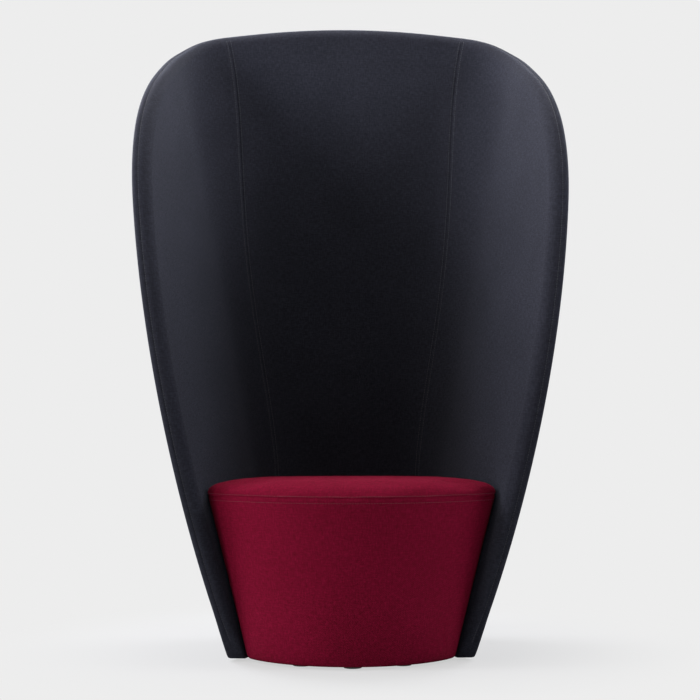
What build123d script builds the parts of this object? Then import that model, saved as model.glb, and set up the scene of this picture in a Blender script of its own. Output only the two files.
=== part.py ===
"""Acoustic high back lounge chair: a tall wrap-round upholstered shell bolted to an upholstered seat drum.

All sizes are millimetres. +Z is up and the chair faces -Y. Places on the plan are measured from the middle
of the drum; the finished chair is then moved so that the origin is under the middle of its bounding box.
"""

from build123d import *
from math import cos, hypot, radians, sin
import os

# ---------------------------------------------------------------- driving dimensions: shell
shell_height = 1440.0
shell_width = 955.0  # across the wings' front edges, at wing_level
wing_level = 1060.0
wing_y = -70.0
wing_lean = 0.2172  # outwards for each millimetre of height
wing_splay = 0.30  # outwards for each millimetre forwards
back_reach = 325.0  # drum centre to the outside of the back, at seat level
back_lean = 0.1423  # backwards for each millimetre of height
corner_radius = 185.0  # outside, where the back turns into the wings
shell_thickness = 38.0
floor_gap = 5.0  # lowest edge of the upholstery above the floor
seat_level = 400.0
rim_bevel = 9.5  # the easing of the upholstered rim, inside and outside
bevel_loss = 0.586  # what a bevel loses for each millimetre that its faces move in

# the rim seen from the side, as corners (y, z) that are rounded by the radii: a leg that leans forwards to
# the elbow, a rise that leans back, a long slope to the brow and a short rise to the arched top edge
rim_foot_y = -128.0
rim_elbow = (-300.0, 515.0)
rim_ear = (-21.0, 1202.0)
rim_brow = (398.0, 1386.0)
rim_crest = (460.0, 1480.0)  # above the arch, which cuts the rise off
rim_radii = (1298.0, 600.0, -120.0, 60.0)  # below nothing where the rim bends the other way
top_arch_radius = 1960.0  # the top edge is arched as seen from the front

# ---------------------------------------------------------------- driving dimensions: shell layers
cover_thickness = 2.0
soft_gap = 0.3  # between soft layers and what they lie on
outer_foam_thickness = 7.4
core_thickness = 9.0  # moulded plywood
core_setback = 22.0  # the core's edge, in from the upholstered rim
rim_seam_depth = 13.0  # the rim seam, in from the outside face
# the two seams of the back panel are arcs through these places, given as (level, half width)
back_seam = ((340.0, 160.0), (890.0, 231.0), (1440.0, 284.0))

# ---------------------------------------------------------------- driving dimensions: seat
seat_height = 392.0  # top of the crown
seat_seam_level = 357.0
seat_side_y = -126.0  # the bowed front meets the shell here, at the floor
seat_side_lean = 0.09  # forwards for each millimetre of height
front_bow_floor = 152.0  # square to the axis of the leaning cone
front_bow_seam = 150.0
bow_depth = 70.0  # the bowed front's leaning cone is used this far back
crown_radius = 3300.0
crown_y = -170.0  # the crown's highest line, so that the seat falls to the rear
seat_edge_bevel = 17.0
front_foam_thickness = 15.0
skirt_level = 272.0  # the top cover is stapled here, out of sight
turn_under = 16.0  # the front cover's strip below the drum

# ---------------------------------------------------------------- driving dimensions: drum frame
ply_thickness = 18.0
wall_thickness = 12.0  # bent plywood
wood_gap = 0.4
frame_level = 262.0  # the top frame's underside
top_frame_width = 55.0
wall_split_y = -95.0  # the front wall ends here against the back wall
post_size = 36.0
post_places = (-95.0, 118.0)  # the middles of the front and the rear posts, from the drum centre
cloth_thickness = 0.8
strap_width = 60.0
strap_thickness = 2.0
strap_end_inset = 20.0
long_strap_places = (-150.0, -50.0, 50.0, 150.0)
cross_strap_places = (-120.0, -10.0, 100.0)

# ---------------------------------------------------------------- driving dimensions: fixings and glides
bolt_diameter = 8.0
bolt_head_across = 13.0
bolt_head_height = 5.3
bolt_spare = 3.0
bolt_flange_diameter = 20.0
bolt_flange_thickness = 1.6
nut_barrel_diameter = 10.0
nut_flange_across = 20.0  # a hexagon
nut_flange_thickness = 1.5
thread_clearance = 0.05
hole_clearance = 0.5
pocket_radius = 12.0  # in the outer foam, round a tee nut's flange
bolt_levels = (95.0, 205.0)
side_bolt_y = 40.0
front_glide_angle = 36.0
front_glide_inset = 60.0  # in from the ring of the bowed front
side_glide_y = 40.0
side_glide_inset = 30.0  # in from the shell's inside
rear_glide_spacing = 140.0
rear_glide_inset = 65.0
glide_diameter = 38.0
glide_stud_length = 30.0
glide_nut_length = 12.0

# ---------------------------------------------------------------- worked out
far = 3 * shell_height  # past everything
back_normal = Vector(0, 1, -back_lean)
wing_normal = Vector(1, wing_splay, -wing_lean)
skin = cover_thickness + soft_gap
core_start = skin + outer_foam_thickness + soft_gap
core_end = core_start + core_thickness
seat_start = shell_thickness + soft_gap  # the seat's sides, in from the shell's outside face
wood_start = seat_start + skin + wood_gap
wall_end = wood_start + wall_thickness
front_wood_start = skin + front_foam_thickness + soft_gap
plate_bottom = floor_gap + skin
plate_top = plate_bottom + ply_thickness
frame_top = frame_level + ply_thickness
long_strap_bottom = frame_top + soft_gap
cross_strap_bottom = long_strap_bottom + strap_thickness + soft_gap
cushion_bottom = cross_strap_bottom + strap_thickness + soft_gap
cloth_bottom = plate_bottom - soft_gap - cloth_thickness
glide_height = cloth_bottom - soft_gap
bolt_radius = bolt_diameter / 2
bore_radius = bolt_radius + thread_clearance
hole_radius = bolt_radius + hole_clearance
nut_hole_radius = nut_barrel_diameter / 2 + hole_clearance


# ---------------------------------------------------------------- the form of the shell
def slab(bottom, top):
    """Everything between two levels."""
    return Pos(0, 0, (bottom + top) / 2) * Box(2 * far, 2 * far, top - bottom)


def behind(y):
    """Everything behind a plane across the chair."""
    return Pos(0, y + far, 0) * Box(4 * far, 2 * far, 4 * far)


def back_point(z):
    """A point of the back's outside face, in the middle of the chair."""
    return Vector(0, back_reach + back_lean * (z - seat_level), z)


def half_width_at(y, z, inset=0.0):
    """Half the width across the wings at y (from the drum centre) and height z, moved in by the inset."""
    width = shell_width / 2 + wing_lean * (z - wing_level) - wing_splay * (y - wing_y)
    return width - inset * wing_normal.length


def inner_side(point, normal, inset):
    """All that lies on the inner side of a plane, which is moved in by the inset."""
    plane = Plane(origin=point, z_dir=normal).offset(-inset)
    return plane * Pos(0, 0, -far / 2) * Box(2 * far, 2 * far, far)


def horseshoe(inset):
    """The right half of all that lies within the shell's outside face, moved in by the inset."""
    wing_point = Vector(shell_width / 2, wing_y, wing_level)
    block = inner_side(back_point(seat_level), back_normal, inset) & inner_side(wing_point, wing_normal, inset)
    block = block & Pos(far / 2, 0, shell_height / 2) * Box(far, shell_height, shell_height + 2 * floor_gap)
    upright = [e for e in block.edges() if e.bounding_box().size.Z > shell_height]
    rear = ShapeList(upright).sort_by(Axis.Y)[-2:]
    return fillet(rear.sort_by(Axis.X)[-1], corner_radius - inset).solid()


def inset_corners(points, distance):
    """Corners of a line, moved to the right of its direction of travel, each leg staying parallel."""
    legs = [(b[0] - a[0], b[1] - a[1]) for a, b in zip(points, points[1:])]
    normals = [(v / hypot(u, v), -u / hypot(u, v)) for u, v in legs]
    pairs = zip(points, [normals[0]] + normals, normals + [normals[-1]])
    moved = []
    for (x, y), (ax, ay), (bx, by) in pairs:
        scale = distance / (1 + ax * bx + ay * by)
        moved.append((x + scale * (ax + bx), y + scale * (ay + by)))
    return moved


def rim_prism(inset):
    """All that lies behind the rim line, below the top edge and above the bottom edge."""
    corners = [(rim_foot_y, 0.0), rim_elbow, rim_ear, rim_brow, rim_crest, (far, rim_crest[1])]
    foot, *bends, end = [Vector(0, y, z) for y, z in inset_corners(corners, inset)]
    face = make_face(Polyline(foot, *bends, end, Vector(0, end.Y, 0), close=True)).face()
    for bend, radius in zip(bends, rim_radii):
        corner = face.vertices().sort_by_distance(bend)[0]
        face = face.fillet_2d(abs(radius - inset), [corner])
    arch = Pos(0, 0, shell_height - top_arch_radius) * Rot(90, 0, 0) * Cylinder(top_arch_radius - inset, 2 * far)
    return extrude(face, amount=shell_width, dir=(1, 0, 0)) & arch & slab(floor_gap + inset, far)


def half_wall(inset):
    """The right half of the upholstered wall with its eased rim, all faces moved in by the inset."""
    wall = (horseshoe(inset) - horseshoe(shell_thickness - inset)) & rim_prism(inset)
    wall = wall.solid()
    middle = wall.edges().filter_by_position(Axis.X, -0.1, 0.1)
    rim = [e for e in wall.edges() - middle if e.length > 2 * shell_thickness]
    return chamfer(rim, rim_bevel - bevel_loss * inset).solid()


def whole(half):
    """A right half and its mirror image, joined."""
    return (half + mirror(half, about=Plane.YZ)).solid()


def seam_prism():
    """The right half of what lies between the back panel's two seams, seen from the front."""
    line = [Vector(width, -far, level) for level, width in back_seam]
    low, high = Vector(0, -far, line[0].Z), Vector(0, -far, line[-1].Z)
    edges = [ThreePointArc(*line), Line(line[-1], high), Line(high, low), Line(low, line[0])]
    below = Pos(line[0].X / 2, 0, line[0].Z / 2) * Box(line[0].X, 2 * far, line[0].Z)
    return extrude(make_face(edges), amount=2 * far, dir=(0, 1, 0)) + below


# ---------------------------------------------------------------- the form of the seat
def front_circle(z, bow):
    """Centre and radius of a bowed front that stands out by the bow at height z."""
    side_y = seat_side_y - seat_side_lean * z
    chord = half_width_at(side_y, z, shell_thickness)
    radius = (chord**2 + bow**2) / (2 * bow)
    return Vector(0, side_y - bow + radius, z), radius


def bowed_front(inset):
    """All that lies behind the bowed front, a leaning cone, moved in by the inset."""
    foot, foot_radius = front_circle(0.0, front_bow_floor)
    seam, seam_radius = front_circle(seat_seam_level, front_bow_seam)
    axis = seam - foot
    slope = (seam_radius - foot_radius) / axis.length
    inwards = inset * hypot(1, slope)
    ring = Plane(origin=foot, z_dir=axis, x_dir=(1, 0, 0))
    start, end = -axis.length, 2 * axis.length
    radii = [foot_radius + slope * place - inwards for place in (start, end)]
    cone = ring * Pos(0, 0, (start + end) / 2) * Cone(*radii, end - start)
    return cone + (behind(seat_side_y + bow_depth) & slab(-far, far))


def seat_block(side_inset, front_inset, bottom, top):
    """The right half of the drum's form between two levels, its sides and its front moved in."""
    return horseshoe(side_inset) & bowed_front(front_inset) & slab(bottom, top)


def half_seat(inset):
    """The right half of the upholstered seat, all faces moved in by the inset."""
    block = seat_block(seat_start + inset, inset, floor_gap + inset, 2 * seat_height)
    crown = Pos(0, crown_y, seat_height - crown_radius) * Rot(0, 90, 0)
    block = (block & crown * Cylinder(crown_radius - inset, 2 * far)).solid()
    upper = [e for e in block.edges() if e.center().Z > seat_seam_level]
    upright = [e for e in block.edges() if e.bounding_box().size.Z > seat_seam_level / 2]
    upright = ShapeList(upright).sort_by(Axis.Y)[1:2]
    edges = [e for e in upper + upright if e.bounding_box().max.X > 1]
    return chamfer(edges, seat_edge_bevel - bevel_loss * inset).solid()


# ---------------------------------------------------------------- bolts between the drum and the shell
def bolt_planes():
    """A plane at each bolt, lying on the core's outside face with its Z axis pointing inwards."""
    planes = []
    for z in bolt_levels:
        side = Vector(half_width_at(side_bolt_y, z), side_bolt_y, z)
        places = [(back_point(z), back_normal), (side, wing_normal)]
        places.append((Vector(-side.X, side.Y, z), Vector(-1, wing_splay, -wing_lean)))
        planes += [Plane(origin=point, z_dir=-normal).offset(core_start) for point, normal in places]
    return planes


def rod(plane, radius, start_inset, end_inset):
    """A cylinder along a bolt, from one inset of the shell's outside face to another."""
    start, end = start_inset - core_start, end_inset - core_start
    return plane * Pos(0, 0, (start + end) / 2) * Cylinder(radius, end - start)


def hexagon(plane, inset, across, height):
    """A hexagonal prism square to a bolt, starting at an inset of the shell's outside face."""
    outline = RegularPolygon(across / 2, 6, major_radius=False)
    return extrude(plane * Pos(0, 0, inset - core_start) * outline, height)


def bolt_sets():
    """The flanged bolts and their tee nuts, each as a list of solids."""
    bolts, nuts = [], []
    head = wall_end + bolt_flange_thickness
    flange = core_start - nut_flange_thickness
    for plane in bolt_planes():
        bolt = rod(plane, bolt_radius, flange, wall_end) + rod(plane, bolt_flange_diameter / 2, wall_end, head)
        bolts.append(bolt + hexagon(plane, head, bolt_head_across, bolt_head_height))
        nut = hexagon(plane, flange, nut_flange_across, nut_flange_thickness)
        nut += rod(plane, nut_barrel_diameter / 2, core_start, core_end - hole_clearance)
        nuts.append(nut - rod(plane, bore_radius, flange - 1, core_end))
    return bolts, nuts


def drill(solid, radius, start_inset, end_inset, spare=bolt_spare):
    """The solid with a hole at each bolt, from one inset to the other and a little beyond both."""
    for plane in bolt_planes():
        solid -= rod(plane, radius, start_inset - spare, end_inset + spare)
    return solid


# ---------------------------------------------------------------- shell pieces
def shell_core():
    """The bent plywood core, set back from the rim all round."""
    half = (horseshoe(core_start) - horseshoe(core_end)) & rim_prism(core_setback)
    return drill(whole(half), nut_barrel_diameter / 2 + thread_clearance, core_start, core_end)


def shell_foams(padded):
    """The thin outer foam, with pockets for the tee nuts, and the inner foam, which wraps the core's edge."""
    outer = whole((horseshoe(skin) - horseshoe(core_start - soft_gap)) & rim_prism(core_setback))
    pocket_floor = core_start - nut_flange_thickness - soft_gap
    outer = drill(outer, pocket_radius, pocket_floor, core_start, spare=0)
    core_room = rim_prism(core_setback - soft_gap) - horseshoe(core_end + soft_gap)
    return outer, drill(whole(padded - core_room), nut_hole_radius, core_end, shell_thickness)


def shell_covers(bare, padded):
    """The outer cover and the three sewn panels of the inner cover."""
    sock = bare - padded
    within = horseshoe(rim_seam_depth)
    lining = sock & within
    back = drill(whole(lining & seam_prism()), nut_hole_radius, core_end, shell_thickness)
    wing = drill((lining - seam_prism()).solid(), nut_hole_radius, core_end, shell_thickness)
    return whole(sock - within), back, wing, mirror(wing, about=Plane.YZ)


# ---------------------------------------------------------------- drum frame pieces
def drum_walls():
    """The bent back wall and the bent front wall, standing on the base plate."""
    height = slab(plate_top + soft_gap, frame_level - soft_gap)
    ring = horseshoe(wood_start) - horseshoe(wall_end)
    back = drill(whole(ring & height & behind(wall_split_y)), hole_radius, wood_start, wall_end)
    bowed = bowed_front(front_wood_start) - bowed_front(front_wood_start + wall_thickness)
    front = whole((bowed & horseshoe(wood_start) & height) - behind(wall_split_y - soft_gap))
    return back, front


def posts():
    """Four posts that lean with the walls, two at the front joints and two at the rear."""
    inner_face = wall_end + wood_gap
    room = horseshoe(inner_face) & bowed_front(front_wood_start + wall_thickness + wood_gap)
    room = (room - horseshoe(inner_face + post_size)) & slab(plate_top + soft_gap, frame_level - soft_gap)
    made = []
    for y in post_places:
        post = (room & behind(y - post_size / 2)) - behind(y + post_size / 2)
        made += [post.solid(), mirror(post.solid(), about=Plane.YZ)]
    return made


def glide_centres():
    """Where the glides stand: three under the bowed front, two at the sides and two at the rear."""
    centre, radius = front_circle(0.0, front_bow_floor)
    ring = radius - front_glide_inset
    turn = radians(front_glide_angle)
    side, ahead = ring * sin(turn), centre.Y - ring * cos(turn)
    flank = half_width_at(side_glide_y, 0.0, shell_thickness) - side_glide_inset
    rear_x, rear_y = rear_glide_spacing / 2, back_point(0.0).Y - shell_thickness - rear_glide_inset
    right = [(side, ahead), (flank, side_glide_y), (rear_x, rear_y)]
    return [(0.0, centre.Y - ring)] + [(sign * x, y) for x, y in right for sign in (1, -1)]


def upright(spot, radius, bottom, top):
    """A cylinder standing at a spot on the plan."""
    return Pos(spot[0], spot[1], (bottom + top) / 2) * Cylinder(radius, top - bottom)


def base_plate():
    """The drum's plywood base, bored for the glides' tee nuts."""
    plate = whole(seat_block(wood_start, front_wood_start, plate_bottom, plate_top))
    for spot in glide_centres():
        plate -= upright(spot, nut_barrel_diameter / 2 + thread_clearance, 0, 2 * plate_top)
    return plate


def top_frame():
    """The plywood ring that carries the webbing."""
    ring = seat_block(wood_start, front_wood_start, frame_level, frame_top)
    opening = seat_block(
        wood_start + top_frame_width, front_wood_start + top_frame_width, frame_level - 1, frame_top + 1
    )
    return whole(ring - opening)


def straps():
    """The webbing, front to rear and above it side to side, each strap in its own place."""
    inset = wood_start + strap_end_inset
    reach = whole(seat_block(inset, inset, long_strap_bottom, cushion_bottom))
    lower = slab(long_strap_bottom, long_strap_bottom + strap_thickness)
    upper = slab(cross_strap_bottom, cross_strap_bottom + strap_thickness)
    long = [reach & lower & Pos(x, 0, 0) * Box(strap_width, far, far) for x in long_strap_places]
    cross = [reach & upper & Pos(0, y, 0) * Box(far, strap_width, far) for y in cross_strap_places]
    return [s.solid() for s in long], [s.solid() for s in cross]


def bottom_cloth():
    """The dust cloth under the base plate, pierced at the glides."""
    side, front = wood_start + turn_under, skin + turn_under + soft_gap
    cloth = whole(seat_block(side, front, cloth_bottom, cloth_bottom + cloth_thickness))
    for spot in glide_centres():
        cloth -= upright(spot, hole_radius, 0, plate_top)
    return cloth


# ---------------------------------------------------------------- seat pieces
def seat_foams(padded):
    """The crowned cushion and the pad on the bowed front."""
    cushion = whole(padded & slab(cushion_bottom, far))
    back_of_pad = bowed_front(skin + front_foam_thickness)
    pad = (padded - back_of_pad) & slab(plate_bottom, cushion_bottom - soft_gap)
    return cushion, whole(pad - behind(wall_split_y - soft_gap))


def seat_covers(bare, padded):
    """The top cover with its skirt, and the front cover with the strip turned under the drum."""
    sock = bare - padded
    upper = sock & slab(seat_seam_level, far)
    skirt = sock & slab(skirt_level, seat_seam_level + 1) & behind(wall_split_y)
    front = (sock & slab(0, seat_seam_level)) - behind(wall_split_y - soft_gap)
    kept = seat_block(seat_start + turn_under, turn_under, 0, skirt_level)
    return whole(upper + skirt), whole(front - kept)


# ---------------------------------------------------------------- glides
def glide_nuts():
    """The glides' tee nuts, their flanges on top of the base plate."""
    nuts = []
    for spot in glide_centres():
        top = plate_top + nut_flange_thickness
        outline = Pos(*spot, plate_top) * RegularPolygon(nut_flange_across / 2, 6, major_radius=False)
        nut = extrude(outline, nut_flange_thickness)
        nut += upright(spot, nut_barrel_diameter / 2, top - glide_nut_length, plate_top)
        nuts.append(nut - upright(spot, bore_radius, 0, 2 * top))
    return nuts


def glide_foot(spot):
    """A round nylon foot."""
    return upright(spot, glide_diameter / 2, 0, glide_height)


def glide_stud(spot):
    """A steel stud that stands on its foot and screws into its tee nut."""
    return upright(spot, bolt_radius, glide_height, glide_height + glide_stud_length)


# ---------------------------------------------------------------- all pieces, by name
def all_parts():
    """Every piece of the chair, as {name: shape}."""
    bare_wall, padded_wall = half_wall(0.0), half_wall(skin)
    padded_wall_cover = half_wall(cover_thickness)
    bare_seat, padded_seat, under_cover = half_seat(0.0), half_seat(skin), half_seat(cover_thickness)
    parts = {"shell_core": shell_core()}
    parts["shell_outer_foam"], parts["shell_inner_foam"] = shell_foams(padded_wall)
    names = ("shell_outer_cover", "back_inner_cover", "right_wing_inner_cover", "left_wing_inner_cover")
    parts.update(zip(names, shell_covers(bare_wall, padded_wall_cover)))
    bolts, nuts = bolt_sets()
    parts["shell_bolts"], parts["shell_tee_nuts"] = Compound(bolts), Compound(nuts)
    parts["seat_base_plate"] = base_plate()
    parts["seat_back_wall"], parts["seat_front_wall"] = drum_walls()
    for name, post in zip(("front_right", "front_left", "rear_right", "rear_left"), posts()):
        parts[f"seat_post_{name}"] = post
    parts["seat_top_frame"] = top_frame()
    long, cross = straps()
    for number, strap in enumerate(long, 1):
        parts[f"webbing_long_{number}"] = strap
    for number, strap in enumerate(cross, 1):
        parts[f"webbing_cross_{number}"] = strap
    parts["seat_cushion"], parts["seat_front_pad"] = seat_foams(padded_seat)
    parts["seat_top_cover"], parts["seat_front_cover"] = seat_covers(bare_seat, under_cover)
    parts["seat_bottom_cloth"] = bottom_cloth()
    parts["glide_tee_nuts"] = Compound(glide_nuts())
    places = ("front", "front_right", "front_left", "side_right", "side_left", "rear_right", "rear_left")
    for name, spot in zip(places, glide_centres()):
        parts[f"glide_foot_{name}"] = glide_foot(spot)
        parts[f"glide_stud_{name}"] = glide_stud(spot)
    return parts


os.makedirs("parts", exist_ok=True)
all_pieces = all_parts()
middle = Compound(list(all_pieces.values())).bounding_box().center().Y
for part_name, shape in all_pieces.items():
    export_step(Pos(0, -middle, 0) * shape, f"parts/{part_name}.step")
print("moved by", round(-middle, 2))
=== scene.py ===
# %% [markdown]
# # Acoustic high back lounge chair
# A tall wrap-round shell in charcoal wool, flared into wings beside the sitter's head, is bolted to an
# upholstered drum with a wine-red seat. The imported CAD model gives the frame, the plywood and the fixings.
# This file adds the cloth, the seams, the stitches, the finishes, the studio and the camera.

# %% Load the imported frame
from math import atan2, cos, hypot, pi, radians, sin

import bpy
import numpy as np
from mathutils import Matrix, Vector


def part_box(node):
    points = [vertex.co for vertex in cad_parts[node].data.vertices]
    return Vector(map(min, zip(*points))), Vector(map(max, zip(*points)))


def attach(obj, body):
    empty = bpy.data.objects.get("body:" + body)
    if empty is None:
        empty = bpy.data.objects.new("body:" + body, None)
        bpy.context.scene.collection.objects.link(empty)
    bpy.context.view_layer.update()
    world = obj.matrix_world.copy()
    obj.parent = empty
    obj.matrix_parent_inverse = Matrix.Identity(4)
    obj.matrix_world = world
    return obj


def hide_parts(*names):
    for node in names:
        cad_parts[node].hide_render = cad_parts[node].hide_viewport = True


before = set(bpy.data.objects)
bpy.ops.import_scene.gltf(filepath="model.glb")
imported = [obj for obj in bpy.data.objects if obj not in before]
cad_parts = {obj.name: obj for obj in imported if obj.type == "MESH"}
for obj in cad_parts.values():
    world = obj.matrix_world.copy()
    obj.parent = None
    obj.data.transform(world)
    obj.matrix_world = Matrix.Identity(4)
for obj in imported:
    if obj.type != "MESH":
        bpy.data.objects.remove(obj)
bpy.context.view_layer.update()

# %% [markdown]
# ## Sizes
# All lengths below are millimetres measured from the middle of the drum, as an upholsterer's drawing has
# them. One function turns them into metres in the frame's own axes when a mesh is made.

# %% Sizes of the chair
MM = 0.001
drum_y = -0.09613  # the drum's middle, from the frame's origin
chair_body = "chair"
shell_height = 1440.0
half_width = 477.5  # of the shell, at wing_level and wing_y
wing_level, wing_y = 1060.0, -70.0
wing_lean, wing_splay = 0.2172, 0.30  # outwards per height, and outwards per length towards the front
back_reach, back_lean, seat_level = 325.0, 0.1423, 400.0
corner_lean = 0.1745  # what the wing's lean adds to the back's as the cloth turns
wall = 38.0  # the upholstered wall's thickness
floor_gap = 5.0
turn = atan2(1.0, wing_splay)  # how far the cloth turns from the back to a wing
print("the cloth turns", round(turn * 180 / pi, 1), "degrees from the back to a wing")

# %% [markdown]
# ## The shell as one bent sheet
# The real shell is plywood pressed over a mould: flat in the back, bent at two corners, flat again in the
# wings, and everything leans outwards. So a place on it has two coordinates, the way round from the middle
# of the back and the level, plus a third for how deep it lies in the wall. A box with rounded edges could
# give the outline too, but this map lets the seams, the rim and the weave follow the cloth.

# %% The map from cloth to space
corner_at_floor, corner_growth, growth_power = 249.0, 111.0, 0.75  # cloth that goes round a corner
growth_level = 1400.0  # where all of the growth is reached
soft_level = 500.0  # from here upwards a corner bends as softly as it can
ramp = np.linspace(0.0, 1.0, 401)


def smooth_step(value, low, high):
    """From nothing to one with level ends: three times the square less twice the cube."""
    t = np.clip((value - low) / (high - low), 0, 1)
    return t * t * (3 - 2 * t)


def summed(values):
    """The running integral of values over the ramp, by trapezia."""
    return np.concatenate([[0], np.cumsum(np.diff(ramp) * (values[1:] + values[:-1]) / 2)])


def corner_tables(ease):
    """Share of the turn that is done along a corner, and how far it leads across and ahead per length."""
    bend = (1 - ease) * ramp + ease * smooth_step(ramp, 0.0, 1.0)
    return bend, summed(np.cos(turn * bend)), summed(np.sin(turn * bend))


low_tables, high_tables = corner_tables(0.5), corner_tables(1.0)


def corner(share, level):
    """The three tables at a share of the corner, tight near the floor and softer from knee height upwards."""
    upper = np.clip(level / soft_level, 0.0, 1.0)
    return [(1 - upper) * np.interp(share, ramp, low) + upper * np.interp(share, ramp, high)
            for low, high in zip(low_tables, high_tables)]


def back_face(level):
    """The outside of the back: it leans backwards in a straight line."""
    return back_reach + back_lean * (level - seat_level)


def wing_face(y, level):
    """Half the width over the wings' outside: straight lines in height and in depth."""
    return half_width + wing_lean * (level - wing_level) - wing_splay * (y - wing_y)


def outside(way, level):
    """x, y and the turn of the outside face: flat back, a corner whose bend eases in and out, flat wing."""
    far = np.abs(way)
    length = corner_at_floor + corner_growth * np.maximum(level / growth_level, 0.0) ** growth_power
    reach = length * corner(1.0, level)[2] / sin(turn)
    start = np.maximum(wing_face(back_face(level), level) - reach, 0.0)
    turned, across, ahead = corner(np.clip((far - start) / length, 0.0, 1.0), level)
    rest = np.maximum(far - start - length, 0.0)
    x = np.minimum(far, start) + length * across + rest * cos(turn)
    return x, back_face(level) - length * ahead - rest * sin(turn), turn * turned


def shell_place(way, level, depth):
    """A place in the wall: the outside face moved along its normal by the depth, kept at its level, and
    slid along the wing so that the rim stays square to the chair's front."""
    way, level, depth = np.broadcast_arrays(way, level, depth)
    turned = outside(way, level)[2]
    tilt = corner_lean * np.sin(turned) + back_lean * np.cos(turned)
    size = np.sqrt(1 + tilt**2)
    slide = wing_splay * (wall / 2 - depth) / size * (turned / turn) ** 2
    x, y, turned = outside(np.abs(way) + slide, level - depth * tilt / size)
    x = np.where(np.abs(way) < 1e-9, 0.0, x - depth * np.sin(turned) / size)
    return np.stack([np.sign(way) * x, y - depth * np.cos(turned) / size, level], axis=-1)


print("middle of the back at the seat", np.round(shell_place(0.0, seat_level, 0.0), 1))

# %% [markdown]
# ## The outline of the cloth
# Seen from the side the rim leans forwards to an elbow, leans back to an ear, then slopes up to the arched
# top edge. The outline is drawn as straight lines with rounded corners, wrapped onto the map, and eased
# all round by a low-pass filter, as foam eases a plywood edge.

# %% Lines as arrays
def unit(vectors):
    """The same directions, each with length one."""
    return vectors / np.linalg.norm(vectors, axis=-1, keepdims=True)


def run_along(points):
    """How far along a line each of its points lies."""
    return np.concatenate([[0], np.cumsum(np.linalg.norm(np.diff(points, axis=0), axis=1))])


def at_spots(spots, run, values):
    """A line's values at given spots, each column read off between its points."""
    return np.stack([np.interp(spots, run, values[:, i]) for i in range(values.shape[1])], axis=-1)


def even(points, count):
    """The same line with its points spread evenly along it."""
    run = run_along(points)
    return at_spots(np.linspace(0, run[-1], count), run, points)


def rounded(corners, radii):
    """Straight lines between corners, each inner corner replaced by an arc that touches both lines."""
    corners = [np.array(c, float) for c in corners]
    line = [corners[0][None]]
    t = np.linspace(0, 1, 60)[:, None]
    for point, before, after, radius in zip(corners[1:-1], corners, corners[2:], radii):
        a, b = unit(before - point), unit(after - point)
        half = np.arccos(a @ b) / 2
        centre = point + unit(a + b) * radius / sin(half)
        start, end = [point + side * radius / np.tan(half) - centre for side in (a, b)]
        sweep = np.arccos(np.clip(start @ end / radius**2, -1, 1))
        line.append(centre + (np.sin((1 - t) * sweep) * start + np.sin(t * sweep) * end) / sin(sweep))
    return np.concatenate(line + [corners[-1][None]])


# %% The rim line in the map
# foot, elbow, ear, brow and crest from the side, as y and level
side_line = [(-128.0, floor_gap), (-300.0, 515.0), (-21.0, 1202.0), (398.0, 1386.0), (460.0, 1480.0)]
side_radii = (1298.0, 600.0, 120.0)  # of the elbow, the ear and the brow
arch_radius = 1960.0


def way_at(y, level):
    """How far round the shell a given y is reached at each level, read off a fine table."""
    table = np.arange(0.0, 1250.0, 1.0)
    across = shell_place(table[None, :], level[:, None], wall / 2)[..., 1]
    index = np.clip((across > y[:, None]).sum(axis=1), 1, len(table) - 1)
    rows = np.arange(len(y))
    a, b = across[rows, index - 1], across[rows, index]
    return table[index - 1] + (a - y) / np.maximum(a - b, 1e-9)


def arch(x):
    """The top edge: a shallow arc across the chair."""
    return shell_height - x**2 / (2 * arch_radius)


rim = even(rounded(side_line, side_radii), 700)
rim_way = way_at(rim[:, 0], rim[:, 1])
rim_x = shell_place(rim_way, rim[:, 1], wall / 2)[:, 0]
below = int(np.argmax(rim[:, 1] > arch(rim_x)))
top_way = np.linspace(rim_way[below - 1], 0.0, 200)
top_level = arch(top_way)
for _ in range(4):  # x depends on the level, so the arch settles in a few rounds
    top_level = arch(shell_place(top_way, top_level, wall / 2)[:, 0])
foot_way = rim_way[0]
right_half = np.concatenate([
    [[0.0, floor_gap], [foot_way, floor_gap]],
    np.stack([rim_way[1:below], rim[1:below, 1]], axis=1),
    np.stack([top_way, top_level], axis=1)[1:],
])
left_half = (right_half * (-1, 1))[::-1]
loop = even(np.concatenate([right_half, left_half[1:]]), 2001)[:-1]
print("the foot of the rim is", round(float(foot_way)), "mm round the shell from the middle of the back")

# %% The outline, eased
spacing = np.linalg.norm(loop[1] - loop[0])
waves = np.fft.fftfreq(len(loop), spacing)
spectrum = np.fft.fft(loop[:, 0] + 1j * loop[:, 1])
easing = (5.0, 13.0, 21.0, 42.0)  # how far the crisp, tight, soft and loose lines are smoothed
crisp, tight, soft, loose = [np.fft.ifft(spectrum * np.exp(-2 * (pi * waves * width) ** 2))
                             for width in easing]
foot_full, foot_none, loose_none, loose_full = 50.0, 160.0, 1150.0, 1300.0  # levels where easings change
near_feet = np.clip((foot_none - loop[:, 1]) / (foot_none - foot_full), 0, 1)
above_ears = smooth_step(loop[:, 1], loose_none, loose_full)
ear_level = 1175.0
ear_way = rim_way[np.argmin(np.abs(rim[:, 1] - ear_level))]
foot_index = int(round(foot_way / spacing))
ear_index = int(np.argmin(np.hypot(loop[:, 0] - ear_way, loop[:, 1] - ear_level)))


def eased_loop(foot_line):
    """The outline eased all round, with its own easing at the feet, and its outward directions."""
    line = near_feet * foot_line + (1 - above_ears - near_feet) * tight + above_ears * loose
    line = np.roll(np.stack([line.real, line.imag], axis=1), foot_index, axis=0)
    tangent = unit(np.roll(line, -1, axis=0) - np.roll(line, 1, axis=0))
    return line, np.stack([tangent[:, 1], -tangent[:, 0]], axis=1)


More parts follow.
